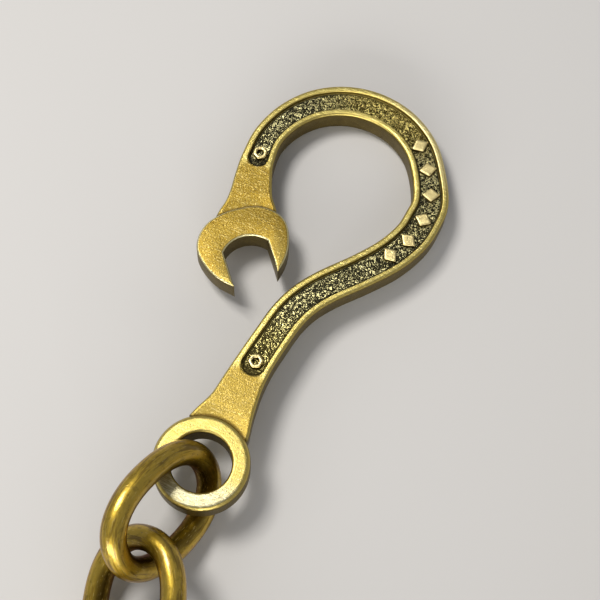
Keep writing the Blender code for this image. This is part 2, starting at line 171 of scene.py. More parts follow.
def smoothstep(low, high, x):
    t = np.clip((x - low) / (high - low), 0, 1)
    return t * t * (3 - 2 * t)


def grid_mesh(name, rings, closed_rings, closed_path, values=None):
    """A skin over an array of rings of points in mm, with named values for each point."""
    count, sides = rings.shape[:2]
    a = np.arange(count if closed_path else count - 1)
    b = np.arange(sides if closed_rings else sides - 1)
    i, k = np.meshgrid(a, b, indexing="ij")
    j, m = (i + 1) % count, (k + 1) % sides
    faces = np.stack([i * sides + k, i * sides + m, j * sides + m, j * sides + k], -1).reshape(-1, 4)
    faces = faces.tolist()
    if not closed_path and closed_rings:
        faces.append(list(range(sides))[::-1])
        faces.append(list(range((count - 1) * sides, count * sides)))
    mesh = bpy.data.meshes.new(name)
    mesh.from_pydata((rings.reshape(-1, 3) * MM).tolist(), [], faces)
    for key, value in (values or {}).items():
        layer = mesh.attributes.new(key, "FLOAT", "POINT")
        layer.data.foreach_set("value", np.asarray(value, np.float32).ravel())
    shape = bmesh.new()
    shape.from_mesh(mesh)
    bmesh.ops.recalc_face_normals(shape, faces=shape.faces)
    shape.to_mesh(mesh)
    shape.free()
    return mesh


def add(name, mesh, matrix, materials, body, *nodes):
    """A piece of the look that rides on a CAD body and stands for CAD nodes."""
    obj = bpy.data.objects.new(name, mesh)
    bpy.context.scene.collection.objects.link(obj)
    obj.matrix_world = matrix
    for material in materials:
        obj.data.materials.append(material)
    obj.data.shade_smooth()
    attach(obj, body)
    if nodes:
        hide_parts(*nodes)
    return obj


def hook_matrix(frame):
    """The hook's own frame: origin in the middle of the eye, Z out of the front face, Y to the bowl."""
    joint = next(j for j in frame["joints"] if j["name"] == "link_01_round_eye")
    flat = next(m for m in frame["record"]["mounts"] if m["name"] == "jaw_flat_long_side")
    z = Vector(joint["axis"]).normalized()
    side = Vector(flat["axis"])
    side = (side - z * side.dot(z)).normalized()
    x = Matrix.Rotation(-(JAW_ANGLE + math.pi / 2), 3, z) @ side
    matrix = Matrix((x, z.cross(x), z)).transposed().to_4x4()
    matrix.translation = Vector(joint["pos_m"])
    return matrix


def oval_matrix(node):
    """A link's own frame, from the spread of its points: X along it, Y across it."""
    points = np.array([v.co for v in node.data.vertices])
    points = np.unique(np.round(points, 6), axis=0)
    middle = (points.min(0) + points.max(0)) / 2
    for _ in range(2):
        _, _, axes = np.linalg.svd(points - middle, full_matrices=False)
        local = (points - middle) @ axes.T
        middle = middle + axes.T @ ((local.min(0) + local.max(0)) / 2)
    x, y = Vector(axes[0]), Vector(axes[1])
    matrix = Matrix((x, y, x.cross(y))).transposed().to_4x4()
    matrix.translation = Vector(middle)
    return matrix


def band_line():
    """Even samples along the middle of the band: points, directions, half widths and lengths."""
    bowl = [
        (r * math.cos(math.radians(a)), BOWL_CENTRE + r * math.sin(math.radians(a)), w)
        for a, r, w in BOWL
    ]
    dense = smooth_through([*NECK, *bowl, *SHANK], 24)
    steps = np.hypot(*np.diff(dense[:, :2], axis=0).T)
    run = np.concatenate([[0], np.cumsum(steps)])
    lengths = np.linspace(0, run[-1], STRAP_SAMPLES)
    even = np.stack([np.interp(lengths, run, dense[:, k]) for k in range(3)], -1)
    along = np.gradient(even[:, :2], axis=0)
    along /= np.hypot(*along.T)[:, None]
    return even[:, :2], along, even[:, 2] / 2, lengths


def head_radius(angle):
    """How far the jaw head's outline is from its centre."""
    radii = smooth_through([(r,) for r in HEAD_RADII], 8, cyclic=True)[:, 0]
    at = np.linspace(0, 2 * np.pi, len(radii), endpoint=False)
    return np.interp(angle, at, radii, period=2 * np.pi)


def past_bosses(flat):
    """How far points of the hook are outside the eye or the jaw head, whichever is nearer."""
    away = flat - np.array(HEAD_CENTRE)
    past_head = np.hypot(away[..., 0], away[..., 1]) - head_radius(np.arctan2(away[..., 1], away[..., 0]))
    return np.minimum(np.hypot(flat[..., 0], flat[..., 1]) - EYE_RADIUS, past_head)


def band_mesh():
    """The band with rounded edges, and a sunk channel in each face that stops short of both ends."""
    points, along, half, lengths = band_line()
    across = np.stack([-along[:, 1], along[:, 0]], -1)
    near = np.array(STRAP_INSETS)
    inner = half - near[-1]
    middle = np.linspace(0, 1, 14)[1:-1]
    offsets = np.concatenate(
        [
            -half[:, None] + near,
            -inner[:, None] + middle * 2 * inner[:, None],
            (half[:, None] - near)[:, ::-1],
        ],
        axis=1,
    )
    edge = half[:, None] - np.abs(offsets)
    inside = np.clip(STRAP_EDGE - edge, 0, None)
    round_off = STRAP_EDGE - np.sqrt(np.clip(STRAP_EDGE**2 - inside**2, 0, None))
    on_face = points[:, None, :] + across[:, None, :] * offsets[:, :, None]
    beyond = past_bosses(on_face)
    dip = BOSS_DIP * (1 - smoothstep(-0.6, BOSS_DIP_REACH, beyond))
    # Painted shade: a dark line along the band where it meets the eye and the jaw head.
    crease_shade = 1 - smoothstep(0.0, 0.5, beyond)

    panel = half - RIM_WIDTH
    start, end = CHANNEL_ENDS[0], lengths[-1] - CHANNEL_ENDS[1]
    past = np.maximum(np.maximum(start + panel - lengths, lengths - end + panel), 0)[:, None]
    depth = panel[:, None] - np.hypot(past, offsets)
    sunk = smoothstep(-0.08, 0.26, depth)
    top = STRAP_THICK / 2 - round_off - dip - CHANNEL_DEPTH * sunk
    in_range = smoothstep(start - 1, start + 1.5, lengths) * smoothstep(-end - 1, -end + 1.5, -lengths)
    rim = (1 - smoothstep(1.2, 1.9, edge)) * (1 - sunk) * in_range[:, None]
    away = on_face - np.array([0, BOWL_CENTRE])
    bearing = np.degrees(np.arctan2(away[..., 1], away[..., 0]))
    gilt = smoothstep(35, 65, bearing) * (1 - smoothstep(95, 135, bearing))
    gilt += 0.7 * (1 - smoothstep(26, 37, on_face[..., 1]))

    side = np.linspace(1, -1, 6)[1:-1] * (STRAP_THICK / 2 - STRAP_EDGE)
    count = len(lengths)
    right = np.broadcast_to(half[:, None], (count, 4))
    z_side = np.broadcast_to(side, (count, 4))
    u = np.concatenate([offsets, right, offsets[:, ::-1], -right], axis=1)
    z = np.concatenate([top, z_side, -top[:, ::-1], z_side[:, ::-1]], axis=1)

    def all_round(value, on_side):
        blank = np.full((count, 4), on_side)
        return np.concatenate([value, blank, value[:, ::-1], blank], axis=1)

    flat = points[:, None, :] + across[:, None, :] * u[:, :, None]
    rings = np.concatenate([flat, z[:, :, None]], axis=2)
    bare = 1 - smoothstep(1.2, 2.8, np.minimum(lengths - start, end - lengths))
    # A patch of the bowl's outer rim, up and to the right, is marked for a painted highlight.
    painted_sheen = smoothstep(12, 35, bearing) * (1 - smoothstep(60, 95, bearing)) * (offsets > 0)
    values = {
        "depth": all_round(depth, -1.0),
        "rim": all_round(rim, 0.0),
        "gilt": all_round(gilt, 0.0),
        "crease_shade": all_round(crease_shade, 0.0),
        "bare": all_round(np.broadcast_to(0.8 * bare[:, None], depth.shape), 0.0),
        "raised": all_round(0.9 * rim * painted_sheen, 0.0),
        "tip": all_round(0.22 * (1 - smoothstep(12, 30, on_face[..., 1])), 0.0),
    }
    return grid_mesh("band", rings, True, False, values)


def section(r0, r1, z0, z1, radii, steps=6):
    """A rectangle of (r, z), its corners rounded by radii[0] at r0 and radii[1] at r1.

    A loop close inside each corner keeps its sides flat.
    """
    out = []
    corners = ((r1, z1, 90, -1), (r1, z0, 0, -1), (r0, z0, -90, -1), (r0, z1, -180, -1))
    for r, z, first, way in corners:
        radius = radii[1] if r == r1 else radii[0]
        cr = r - radius if r == r1 else r + radius
        cz = z - radius if z == z1 else z + radius
        for i in range(steps + 1):
            a = math.radians(first + way * 90 * i / steps)
            out.append((cr + radius * math.cos(a), cz + radius * math.sin(a)))
    full = []
    for i, point in enumerate(out):
        after = out[(i + 1) % len(out)]
        full.append(point)
        gap = math.dist(point, after)
        if gap > 0.5:
            t = 0.12 / gap
            full.append((point[0] + (after[0] - point[0]) * t, point[1] + (after[1] - point[1]) * t))
            full.append((after[0] + (point[0] - after[0]) * t, after[1] + (point[1] - after[1]) * t))
    return full


def eye_mesh():
    loop = section(EYE_HOLE_RADIUS, EYE_RADIUS, -BOSS_THICK / 2, BOSS_THICK / 2, EYE_EDGES)
    count = 144
    a = np.linspace(0, 2 * np.pi, count, endpoint=False)[:, None]
    r, z = np.array(loop).T
    rings = np.stack([r * np.cos(a), r * np.sin(a), np.broadcast_to(z, (count, len(z)))], -1)
    fixed = np.ones(rings.shape[:2])
    # Marks the eye's lower part for a painted highlight, a pale silvery glare on its face.
    eye_highlight = 0.85 * smoothstep(1.0, 6.5, 0.2 * rings[..., 0] - 0.98 * rings[..., 1])
    return grid_mesh("eye", rings, True, True, {"depth": -fixed, "rim": 0.7 * fixed, "eye_highlight": eye_highlight})


def prism(name, outline, low, high):
    outline = np.asarray(outline, float)
    rings = np.stack([np.column_stack([outline, np.full(len(outline), z)]) for z in (low, high)])
    return grid_mesh(name, rings, True, False)


def jaw_outline():
    """The head's outline with the jaw cut into it, anticlockwise, and each point's way round to a tip."""
    out = np.array([math.cos(JAW_ANGLE), math.sin(JAW_ANGLE)])
    side = np.array([-out[1], out[0]])
    throat = np.array(JAW_THROAT)
    half = JAW_WIDTH / 2
    turn = np.linspace(0, 2 * np.pi, 3600, endpoint=False)
    way_out = np.column_stack([np.cos(turn), np.sin(turn)])
    back = np.array(HEAD_CENTRE) + head_radius(turn)[:, None] * way_out
    ahead, across = (back - throat) @ out, (back - throat) @ side
    mouth = (np.abs(across) < half) & (ahead > 0)
    first = np.flatnonzero(~mouth & np.roll(mouth, 1))[0]
    back = np.roll(back, -first, axis=0)[: np.count_nonzero(~mouth)]
    run = np.concatenate([[0], np.cumsum(np.hypot(*np.diff(back, axis=0).T))])
    near_tip = np.array([0, 0.12, 0.3])
    between = np.arange(0.6, run[-1] - 0.5, 0.35)
    steps = np.concatenate([near_tip, between, run[-1] - near_tip[::-1]])
    back = np.column_stack([np.interp(steps, run, back[:, k]) for k in (0, 1)])

    radius = (half**2 + JAW_THROAT_DEPTH**2) / (2 * JAW_THROAT_DEPTH)
    reach = math.asin(half / radius)
    way = np.sign((back[-1] - throat) @ side)
    t = way * np.linspace(1, -1, 33)[:, None]
    arc = throat + side * radius * np.sin(reach * t)
    arc = arc - out * (radius * np.cos(reach * t) - (radius - JAW_THROAT_DEPTH))
    flats = []
    for tip, corner in ((back[-1], arc[0]), (back[0], arc[-1])):
        length = np.hypot(*(corner - tip))
        between = np.arange(0.8, length - 0.6, 0.8)
        at = np.concatenate([near_tip[1:], between, length - near_tip[:0:-1]])
        flats.append(tip + (corner - tip) * at[:, None] / length)
    outline = np.vstack([back, flats[0], arc, flats[1][::-1]])
    length = np.hypot(*(np.roll(outline, -1, axis=0) - outline).T)
    run = np.concatenate([[0], np.cumsum(length)[:-1]])
    away = [np.abs(run - at) for at in (0, run[len(back) - 1])]
    return outline, np.minimum(*[np.minimum(a, length.sum() - a) for a in away])


def carved(name, base, steps, edge, segments):
    """base with each (mesh, operation) applied to it in turn, and its edges rounded by edge mm."""
    owner = bpy.data.objects.new(name, base)
    bpy.context.scene.collection.objects.link(owner)
    helpers = [owner]
    for mesh, operation in steps:
        helper = bpy.data.objects.new(mesh.name, mesh)
        bpy.context.scene.collection.objects.link(helper)
        helpers.append(helper)
        modifier = owner.modifiers.new(mesh.name, "BOOLEAN")
        modifier.operation = operation
        modifier.solver = "EXACT"
        modifier.object = helper
    bevel = owner.modifiers.new("edges", "BEVEL")
    bevel.width = edge * MM
    bevel.segments = segments
    bevel.limit_method = "ANGLE"
    bevel.angle_limit = math.radians(35)
    owner.data.shade_smooth()
    normals = owner.modifiers.new("normals", "WEIGHTED_NORMAL")
    normals.weight = 100
    bpy.context.view_layer.update()
    graph = bpy.context.evaluated_depsgraph_get()
    mesh = bpy.data.meshes.new_from_object(owner.evaluated_get(graph), depsgraph=graph)
    for helper in helpers:
        bpy.data.objects.remove(helper)
    return mesh


def jaw_mesh():
    """The jaw head, its edges rounded and the rounding running out at the two tips."""
    outline, to_tip = jaw_outline()
    before, after = outline - np.roll(outline, 1, axis=0), np.roll(outline, -1, axis=0) - outline
    before /= np.hypot(*before.T)[:, None]
    after /= np.hypot(*after.T)[:, None]
    inward = np.column_stack([-before[:, 1] - after[:, 1], before[:, 0] + after[:, 0]])
    inward /= 1 + (before * after).sum(1)[:, None]
    edge = np.clip(0.45 * to_tip, 0.03, JAW_EDGE)
    rings = []
    for side in (-1, 1):
        for turn in np.radians(np.linspace(90, 0, 7))[::-side]:
            z = side * (BOSS_THICK / 2 - edge * (1 - math.sin(turn)))
            rings.append(np.column_stack([outline + inward * (edge * (1 - math.cos(turn)))[:, None], z]))
    rings = np.stack(rings)
    fixed = np.ones(rings.shape[:2])
    ahead = (rings[..., :2] - JAW_THROAT) @ (math.cos(JAW_ANGLE), math.sin(JAW_ANGLE))
    tip = 0.75 * smoothstep(2.0, 9.0, ahead)
    # bright marks the jaw so that its rounded edges take a near-white painted highlight.
    return grid_mesh("jaw", rings, True, False, {"depth": -fixed, "bright": fixed, "tip": tip})


def raised(name, outline, low, high):
    """A small raised mark with rounded shoulders, from a convex outline."""
    outline = np.asarray(outline, float)
    centre = outline.mean(0)
    reach = np.hypot(*(outline - centre).T).min()
    rings = []
    shoulder = ((high - MARK_EDGE, 0), (high - MARK_EDGE * 0.35, MARK_EDGE * 0.2), (high, MARK_EDGE))
    for z, inset in ((low, -0.1), *shoulder, (high, MARK_EDGE + 0.25)):
        ring = centre + (outline - centre) * (1 - inset / reach)
        rings.append(np.column_stack([ring, np.full(len(ring), z)]))
    rings = np.stack(rings)
    fixed = np.ones(rings.shape[:2])
    return grid_mesh(name, rings, True, False, {"depth": -fixed, "rim": fixed, "raised": fixed})


def soft_polygon(corners, radius_share=0.22, steps=4):
    """A polygon with its corners rounded."""
    corners = np.asarray(corners, float)
    out = []
    for i, corner in enumerate(corners):
        a = corner + (corners[i - 1] - corner) * radius_share
        b = corner + (corners[(i + 1) % len(corners)] - corner) * radius_share
        for t in np.linspace(0, 1, steps + 1):
            out.append((1 - t) ** 2 * a + 2 * t * (1 - t) * corner + t**2 * b)
    return out


def mark_meshes():
    """Six lozenges round the bowl, and a nut at each end of the channel."""
    points, along, _, lengths = band_line()
    low, high = STRAP_THICK / 2 - CHANNEL_DEPTH - MARK_ROOT, STRAP_THICK / 2 - MARK_TOP
    centre = np.array([0, BOWL_CENTRE])
    away = points - centre
    reach = np.hypot(*away.T)
    out = []
    for i, degrees in enumerate(LOZENGE_ANGLES):
        way = np.array([math.cos(math.radians(degrees)), math.sin(math.radians(degrees))])
        nearest = np.argmax(away @ way / reach)
        middle = centre + way * reach[nearest]
        across = np.array([-along[nearest, 1], along[nearest, 0]])
        a, b = along[nearest] * LOZENGE[0] / 2, across * LOZENGE[1] / 2
        corners = [middle + a, middle + b, middle - a, middle - b]
        out.append(raised(f"lozenge_{i + 1}", soft_polygon(corners, 0.12), low, high))
    for i, length in enumerate((CHANNEL_ENDS[0] + NUT_INSET, lengths[-1] - CHANNEL_ENDS[1] - NUT_INSET)):
        k = np.searchsorted(lengths, length)
        turn = math.atan2(along[k, 1], along[k, 0])
        rings = []
        levels = ((NUT_RADIUS + 0.1, low), (NUT_RADIUS, high - 0.15), (NUT_RADIUS - 0.15, high))
        levels += ((NUT_BORE + 0.15, high), (NUT_BORE, high - 0.15), (NUT_BORE - 0.05, low))
        for radius, z in levels:
            a = turn + np.arange(6) * math.pi / 3
            ring = points[k] + radius * np.column_stack([np.cos(a), np.sin(a)])
            ring = np.array(soft_polygon(ring, 0.15, 3))
            rings.append(np.column_stack([ring, np.full(len(ring), z)]))
        rings = np.stack(rings)
        fixed = np.ones(rings.shape[:2])
        values = {"depth": -fixed, "rim": fixed, "raised": fixed}
        out.append(grid_mesh(f"nut_{i + 1}", rings, True, True, values))
    return out


def tube(name, path, radii, sides, closed):
    """Round wire along a flat path, with each point's place along, across and above the wire."""
    path = np.asarray(path, float)
    if closed:
        along = np.roll(path, -1, axis=0) - np.roll(path, 1, axis=0)
    else:
        along = np.gradient(path, axis=0)
    along /= np.hypot(*along.T)[:, None]
    across = np.column_stack([-along[:, 1], along[:, 0]])
    a = np.linspace(0, 2 * np.pi, sides, endpoint=False)
    radii = np.broadcast_to(radii, len(path))[:, None]
    over, up = radii * np.cos(a), radii * np.sin(a)
    rings = np.concatenate([path[:, None, :] + across[:, None, :] * over[:, :, None], up[:, :, None]], axis=2)
    run = np.concatenate([[0], np.cumsum(np.hypot(*np.diff(path, axis=0).T))])[:, None]
    run = np.broadcast_to(np.minimum(run, run[-1] - run) if closed else run, over.shape)
    return grid_mesh(name, rings, True, closed, {"run": run, "over": over, "up": up})


def link_mesh():
    a = np.linspace(0, 2 * np.pi, 1441)
    half = np.array([LINK_LENGTH - WIRE, LINK_WIDTH - WIRE]) / 2
    way = np.column_stack([np.cos(a), np.sin(a)])
    size = (np.abs(way / half) ** LINK_SQUARENESS).sum(1) ** (-1 / LINK_SQUARENESS)
    fine = way * size[:, None]
    run = np.concatenate([[0], np.cumsum(np.hypot(*np.diff(fine, axis=0).T))])
    steps = np.linspace(0, run[-1], 144, endpoint=False)
    path = np.column_stack([np.interp(steps, run, fine[:, k]) for k in (0, 1)])
    return tube("link", path, WIRE / 2, 40, True)


def soft_line(points, radius, steps=5):
    """An open outline with each inner corner rounded."""
    points = [np.array(p, float) for p in points]
    out = [points[0]]
    for before, corner, after in zip(points, points[1:], points[2:]):
        to_before, to_after = before - corner, after - corner
        r0 = min(radius, 0.45 * np.hypot(*to_before))
        r1 = min(radius, 0.45 * np.hypot(*to_after))
        a = corner + to_before / np.hypot(*to_before) * r0
        b = corner + to_after / np.hypot(*to_after) * r1
        for t in np.linspace(0, 1, steps + 1):
            out.append((1 - t) ** 2 * a + 2 * t * (1 - t) * corner + t**2 * b)
    return [*out, points[-1]]


def turned(name, profile, sides, upright_at=None):
    """A solid of revolution from (length, radius) pairs: about X, or about an upright line at x."""
    length, radius = np.array(profile, float).T[:, :, None]
    a = np.linspace(0, 2 * np.pi, sides, endpoint=False)
    c, s = radius * np.cos(a), radius * np.sin(a)
    flat = np.broadcast_to(length, c.shape)
    rings = (flat, c, s) if upright_at is None else (c + upright_at, s, flat)
    return grid_mesh(name, np.stack(rings, -1), True, False)


def swivel_eye_mesh():
    a = np.linspace(0, 2 * np.pi, 112, endpoint=False)
    ring = tube("ring", SWIVEL_RING * np.column_stack([np.cos(a), np.sin(a)]), SWIVEL_WIRE / 2, 36, True)
    profile = [
        (SWIVEL_RING - 0.4, POST_RADIUS), (POST_HEAD[0], POST_RADIUS), (POST_HEAD[0], POST_HEAD_RADIUS),
        (POST_HEAD[1], POST_HEAD_RADIUS), (POST_HEAD[1], 0.1),
    ]
    post = turned("post", soft_line(profile, 0.25), 64)
    return carved("swivel_eye", ring, [(post, "UNION")], 0.15, 2)


def snap_body_mesh():
    start, end = BARREL
    profile = [
        (start, 0.2), (start, BARREL_RADIUS - 0.4), (start + 0.5, BARREL_RADIUS),
        (end - 0.5, BARREL_RADIUS), (end, BARREL_RADIUS - 0.5), (end, 0.2),
    ]
    barrel = turned("barrel", soft_line(profile, 0.5), 96)
    angles = np.radians(np.linspace(SNAP_HOOK_ARC[0] + 22, SNAP_HOOK_ARC[1], 96))
    arc = np.array(SNAP_HOOK_CENTRE) + SNAP_HOOK_RADIUS * np.column_stack([np.cos(angles), np.sin(angles)])
    path = np.vstack([smooth_through([(24.4, -1.6), (26.6, -3.1), (28.2, -5.3), arc[0]], 8)[:-1], arc])
    radii = SNAP_HOOK_WIRE * np.interp(np.linspace(0, 1, len(path)), (0, 0.15, 0.8, 1), (0.88, 1, 1, 0.84))
    hook = tube("hook", path, radii, 48, False)
    bore = [
        (start - 1, COLLAR_BORE), (COLLAR_END, COLLAR_BORE),
        (COLLAR_END + 0.01, BARREL_BORE), (end + 2, BARREL_BORE),
    ]
    gate = [(end - 0.5, 3.0), (BOLT[1] + 0.3, 3.0)]
    half = STUD_RADIUS + 0.35
    slot = [
        (x + half * math.cos(a), half * math.sin(a))
        for x, first in ((STUD, -90), (STUD - BOLT_TRAVEL, 90))
        for a in np.radians(np.linspace(first, first + 180, 17))
    ]
    steps = [
        (hook, "UNION"),
        (turned("bore", bore, 72), "DIFFERENCE"),
        (turned("gate", gate, 72), "DIFFERENCE"),
        (prism("slot", slot, 1.5, BARREL_RADIUS + 2), "DIFFERENCE"),
    ]
    return carved("snap_body", barrel, steps, 0.2, 2)


def snap_bolt_mesh():
    back, tip = BOLT
    profile = [
        (back, 0.2), (back, BOLT_RADIUS), (29.4, BOLT_RADIUS), (30.4, BOLT_NOSE_RADIUS),
        (tip, BOLT_NOSE_RADIUS), (tip, 0.2),
    ]
    bolt = turned("bolt", soft_line(profile, 0.4), 64)
    socket = turned("socket", [(-0.2, STUD_RADIUS), (BOLT_RADIUS + 1, STUD_RADIUS)], 48, STUD)
    return carved("snap_bolt", bolt, [(socket, "DIFFERENCE")], 0.1, 2)


def thumb_stud_mesh():
    neck = BARREL_RADIUS + 0.4
    profile = [
        (0.2, 0.1), (0.2, STUD_RADIUS - 0.3), (neck, STUD_RADIUS - 0.3), (neck, STUD_HEAD_RADIUS),
        (STUD_HEIGHT - 0.25, STUD_HEAD_RADIUS), (STUD_HEIGHT - 0.05, 1.4), (STUD_HEIGHT, 0.1),
    ]
    return turned("thumb_stud", soft_line(profile, 0.35), 64, STUD)


def snap_matrix(frame):
    """The bolt snap's own frame: X along its barrel, Z up its thumb stud, origin in the swivel ring."""
    swivel = next(j for j in frame["joints"] if j["name"] == "snap_swivel")

    def points(node):
        return np.unique(np.round([v.co for v in frame["nodes"][node].data.vertices], 6), axis=0)

    start = Vector(swivel["pos_m"])
    x = Vector(swivel["axis"]).normalized()
    stud = Vector(points("thumb_stud").mean(0)) - start
    if x.dot(stud - (Vector(points("swivel_eye").mean(0)) - start)) < 0:
        x = -x
    back = ((points("snap_body") - np.array(start)) @ np.array(x)).min()
    z = (stud - x * stud.dot(x)).normalized()
    matrix = Matrix((x, z.cross(x), z)).transposed().to_4x4()
    matrix.translation = start + x * (back - BARREL[0] * MM)
    return matrix


class Finish:
    """One metal finish, its nodes written as calls. Lengths are in mm of the piece itself."""

    def __init__(self, name, shift=0.0):
        self.material = bpy.data.materials.new(name)
        self.material.use_nodes = True
        self.tree = self.material.node_tree
        self.shader = self.tree.nodes["Principled BSDF"]
        coords = self.tree.nodes.new("ShaderNodeTexCoord")
        self.shift = (shift, 0.37 * shift, 0.61 * shift)
        self.place = self.mapped(coords.outputs["Object"], 1 / MM, self.shift)
        split = self.tree.nodes.new("ShaderNodeSeparateXYZ")
        self.put(split.inputs[0], coords.outputs["Normal"])
        self.upright = self.math("ABSOLUTE", split.outputs["Z"])

    def put(self, socket, value):
        if isinstance(value, bpy.types.NodeSocket):
            self.tree.links.new(value, socket)
        elif isinstance(value, tuple) and socket.type == "RGBA":
            socket.default_value = (*value, 1.0)
        else:
            socket.default_value = value

    def mapped(self, place, scale, shift=(0, 0, 0), turn=(0, 0, 0)):
        node = self.tree.nodes.new("ShaderNodeMapping")
        self.put(node.inputs["Vector"], place)
        node.inputs["Location"].default_value = shift
        node.inputs["Rotation"].default_value = turn
        node.inputs["Scale"].default_value = scale if isinstance(scale, tuple) else (scale,) * 3
        return node.outputs["Vector"]

    def noise(self, scale, detail=2.0, distortion=0.0, place=None, rough=0.5):
        node = self.tree.nodes.new("ShaderNodeTexNoise")
        self.put(node.inputs["Vector"], place or self.place)
        node.inputs["Scale"].default_value = scale
        node.inputs["Detail"].default_value = detail
        node.inputs["Roughness"].default_value = rough
        node.inputs["Distortion"].default_value = distortion
        return node.outputs[0]

    def math(self, operation, a, b=0.5, c=0.0):
        node = self.tree.nodes.new("ShaderNodeMath")
        node.operation = operation
        for socket, value in zip(node.inputs, (a, b, c)):
            self.put(socket, value)
        return node.outputs[0]

    def ramp(self, value, low, high, out_low=0.0, out_high=1.0):
        node = self.tree.nodes.new("ShaderNodeMapRange")
        node.interpolation_type = "SMOOTHSTEP"
        for socket, given in zip(node.inputs, (value, low, high, out_low, out_high)):
            self.put(socket, given)
        return node.outputs[0]

    def mix(self, share, a, b):
        node = self.tree.nodes.new("ShaderNodeMix")
        node.data_type = "RGBA"
        self.put(node.inputs["Factor"], share)
        colours = [s for s in node.inputs if s.type == "RGBA"]
        self.put(colours[0], a)
        self.put(colours[1], b)
        return next(s for s in node.outputs if s.type == "RGBA")

    def blend(self, share, a, b):
        """A number that goes from a to b with share."""
        node = self.tree.nodes.new("ShaderNodeMapRange")
        for socket, given in zip(node.inputs, (share, 0.0, 1.0, a, b)):
            self.put(socket, given)
        return node.outputs[0]

    def along_wire(self, stretch):
        """Places that follow a wire round its bends: stretch is how much longer than wide a streak is."""
        node = self.tree.nodes.new("ShaderNodeCombineXYZ")
        for socket, name in zip(node.inputs, ("run", "over", "up")):
            self.put(socket, self.value(name))
        return self.mapped(node.outputs[0], (1 / stretch, 1.0, 1.0), self.shift)

    def value(self, name):
        node = self.tree.nodes.new("ShaderNodeAttribute")
        node.attribute_name = name
        return node.outputs["Fac"]

    def bump(self, height, depth, normal=None):
        """Height from 0 to 1 as a relief depth mm deep."""
        node = self.tree.nodes.new("ShaderNodeBump")
        node.inputs["Distance"].default_value = depth * MM
        node.inputs["Strength"].default_value = 1.0
        self.put(node.inputs["Height"], height)
        if normal:
            self.put(node.inputs["Normal"], normal)
        return node.outputs[0]

    def finish(self, colour, roughness, normal, metallic=1.0):
        self.put(self.shader.inputs["Base Color"], colour)
        self.put(self.shader.inputs["Roughness"], roughness)
        self.put(self.shader.inputs["Normal"], normal)
        self.put(self.shader.inputs["Metallic"], metallic)
        return self.material


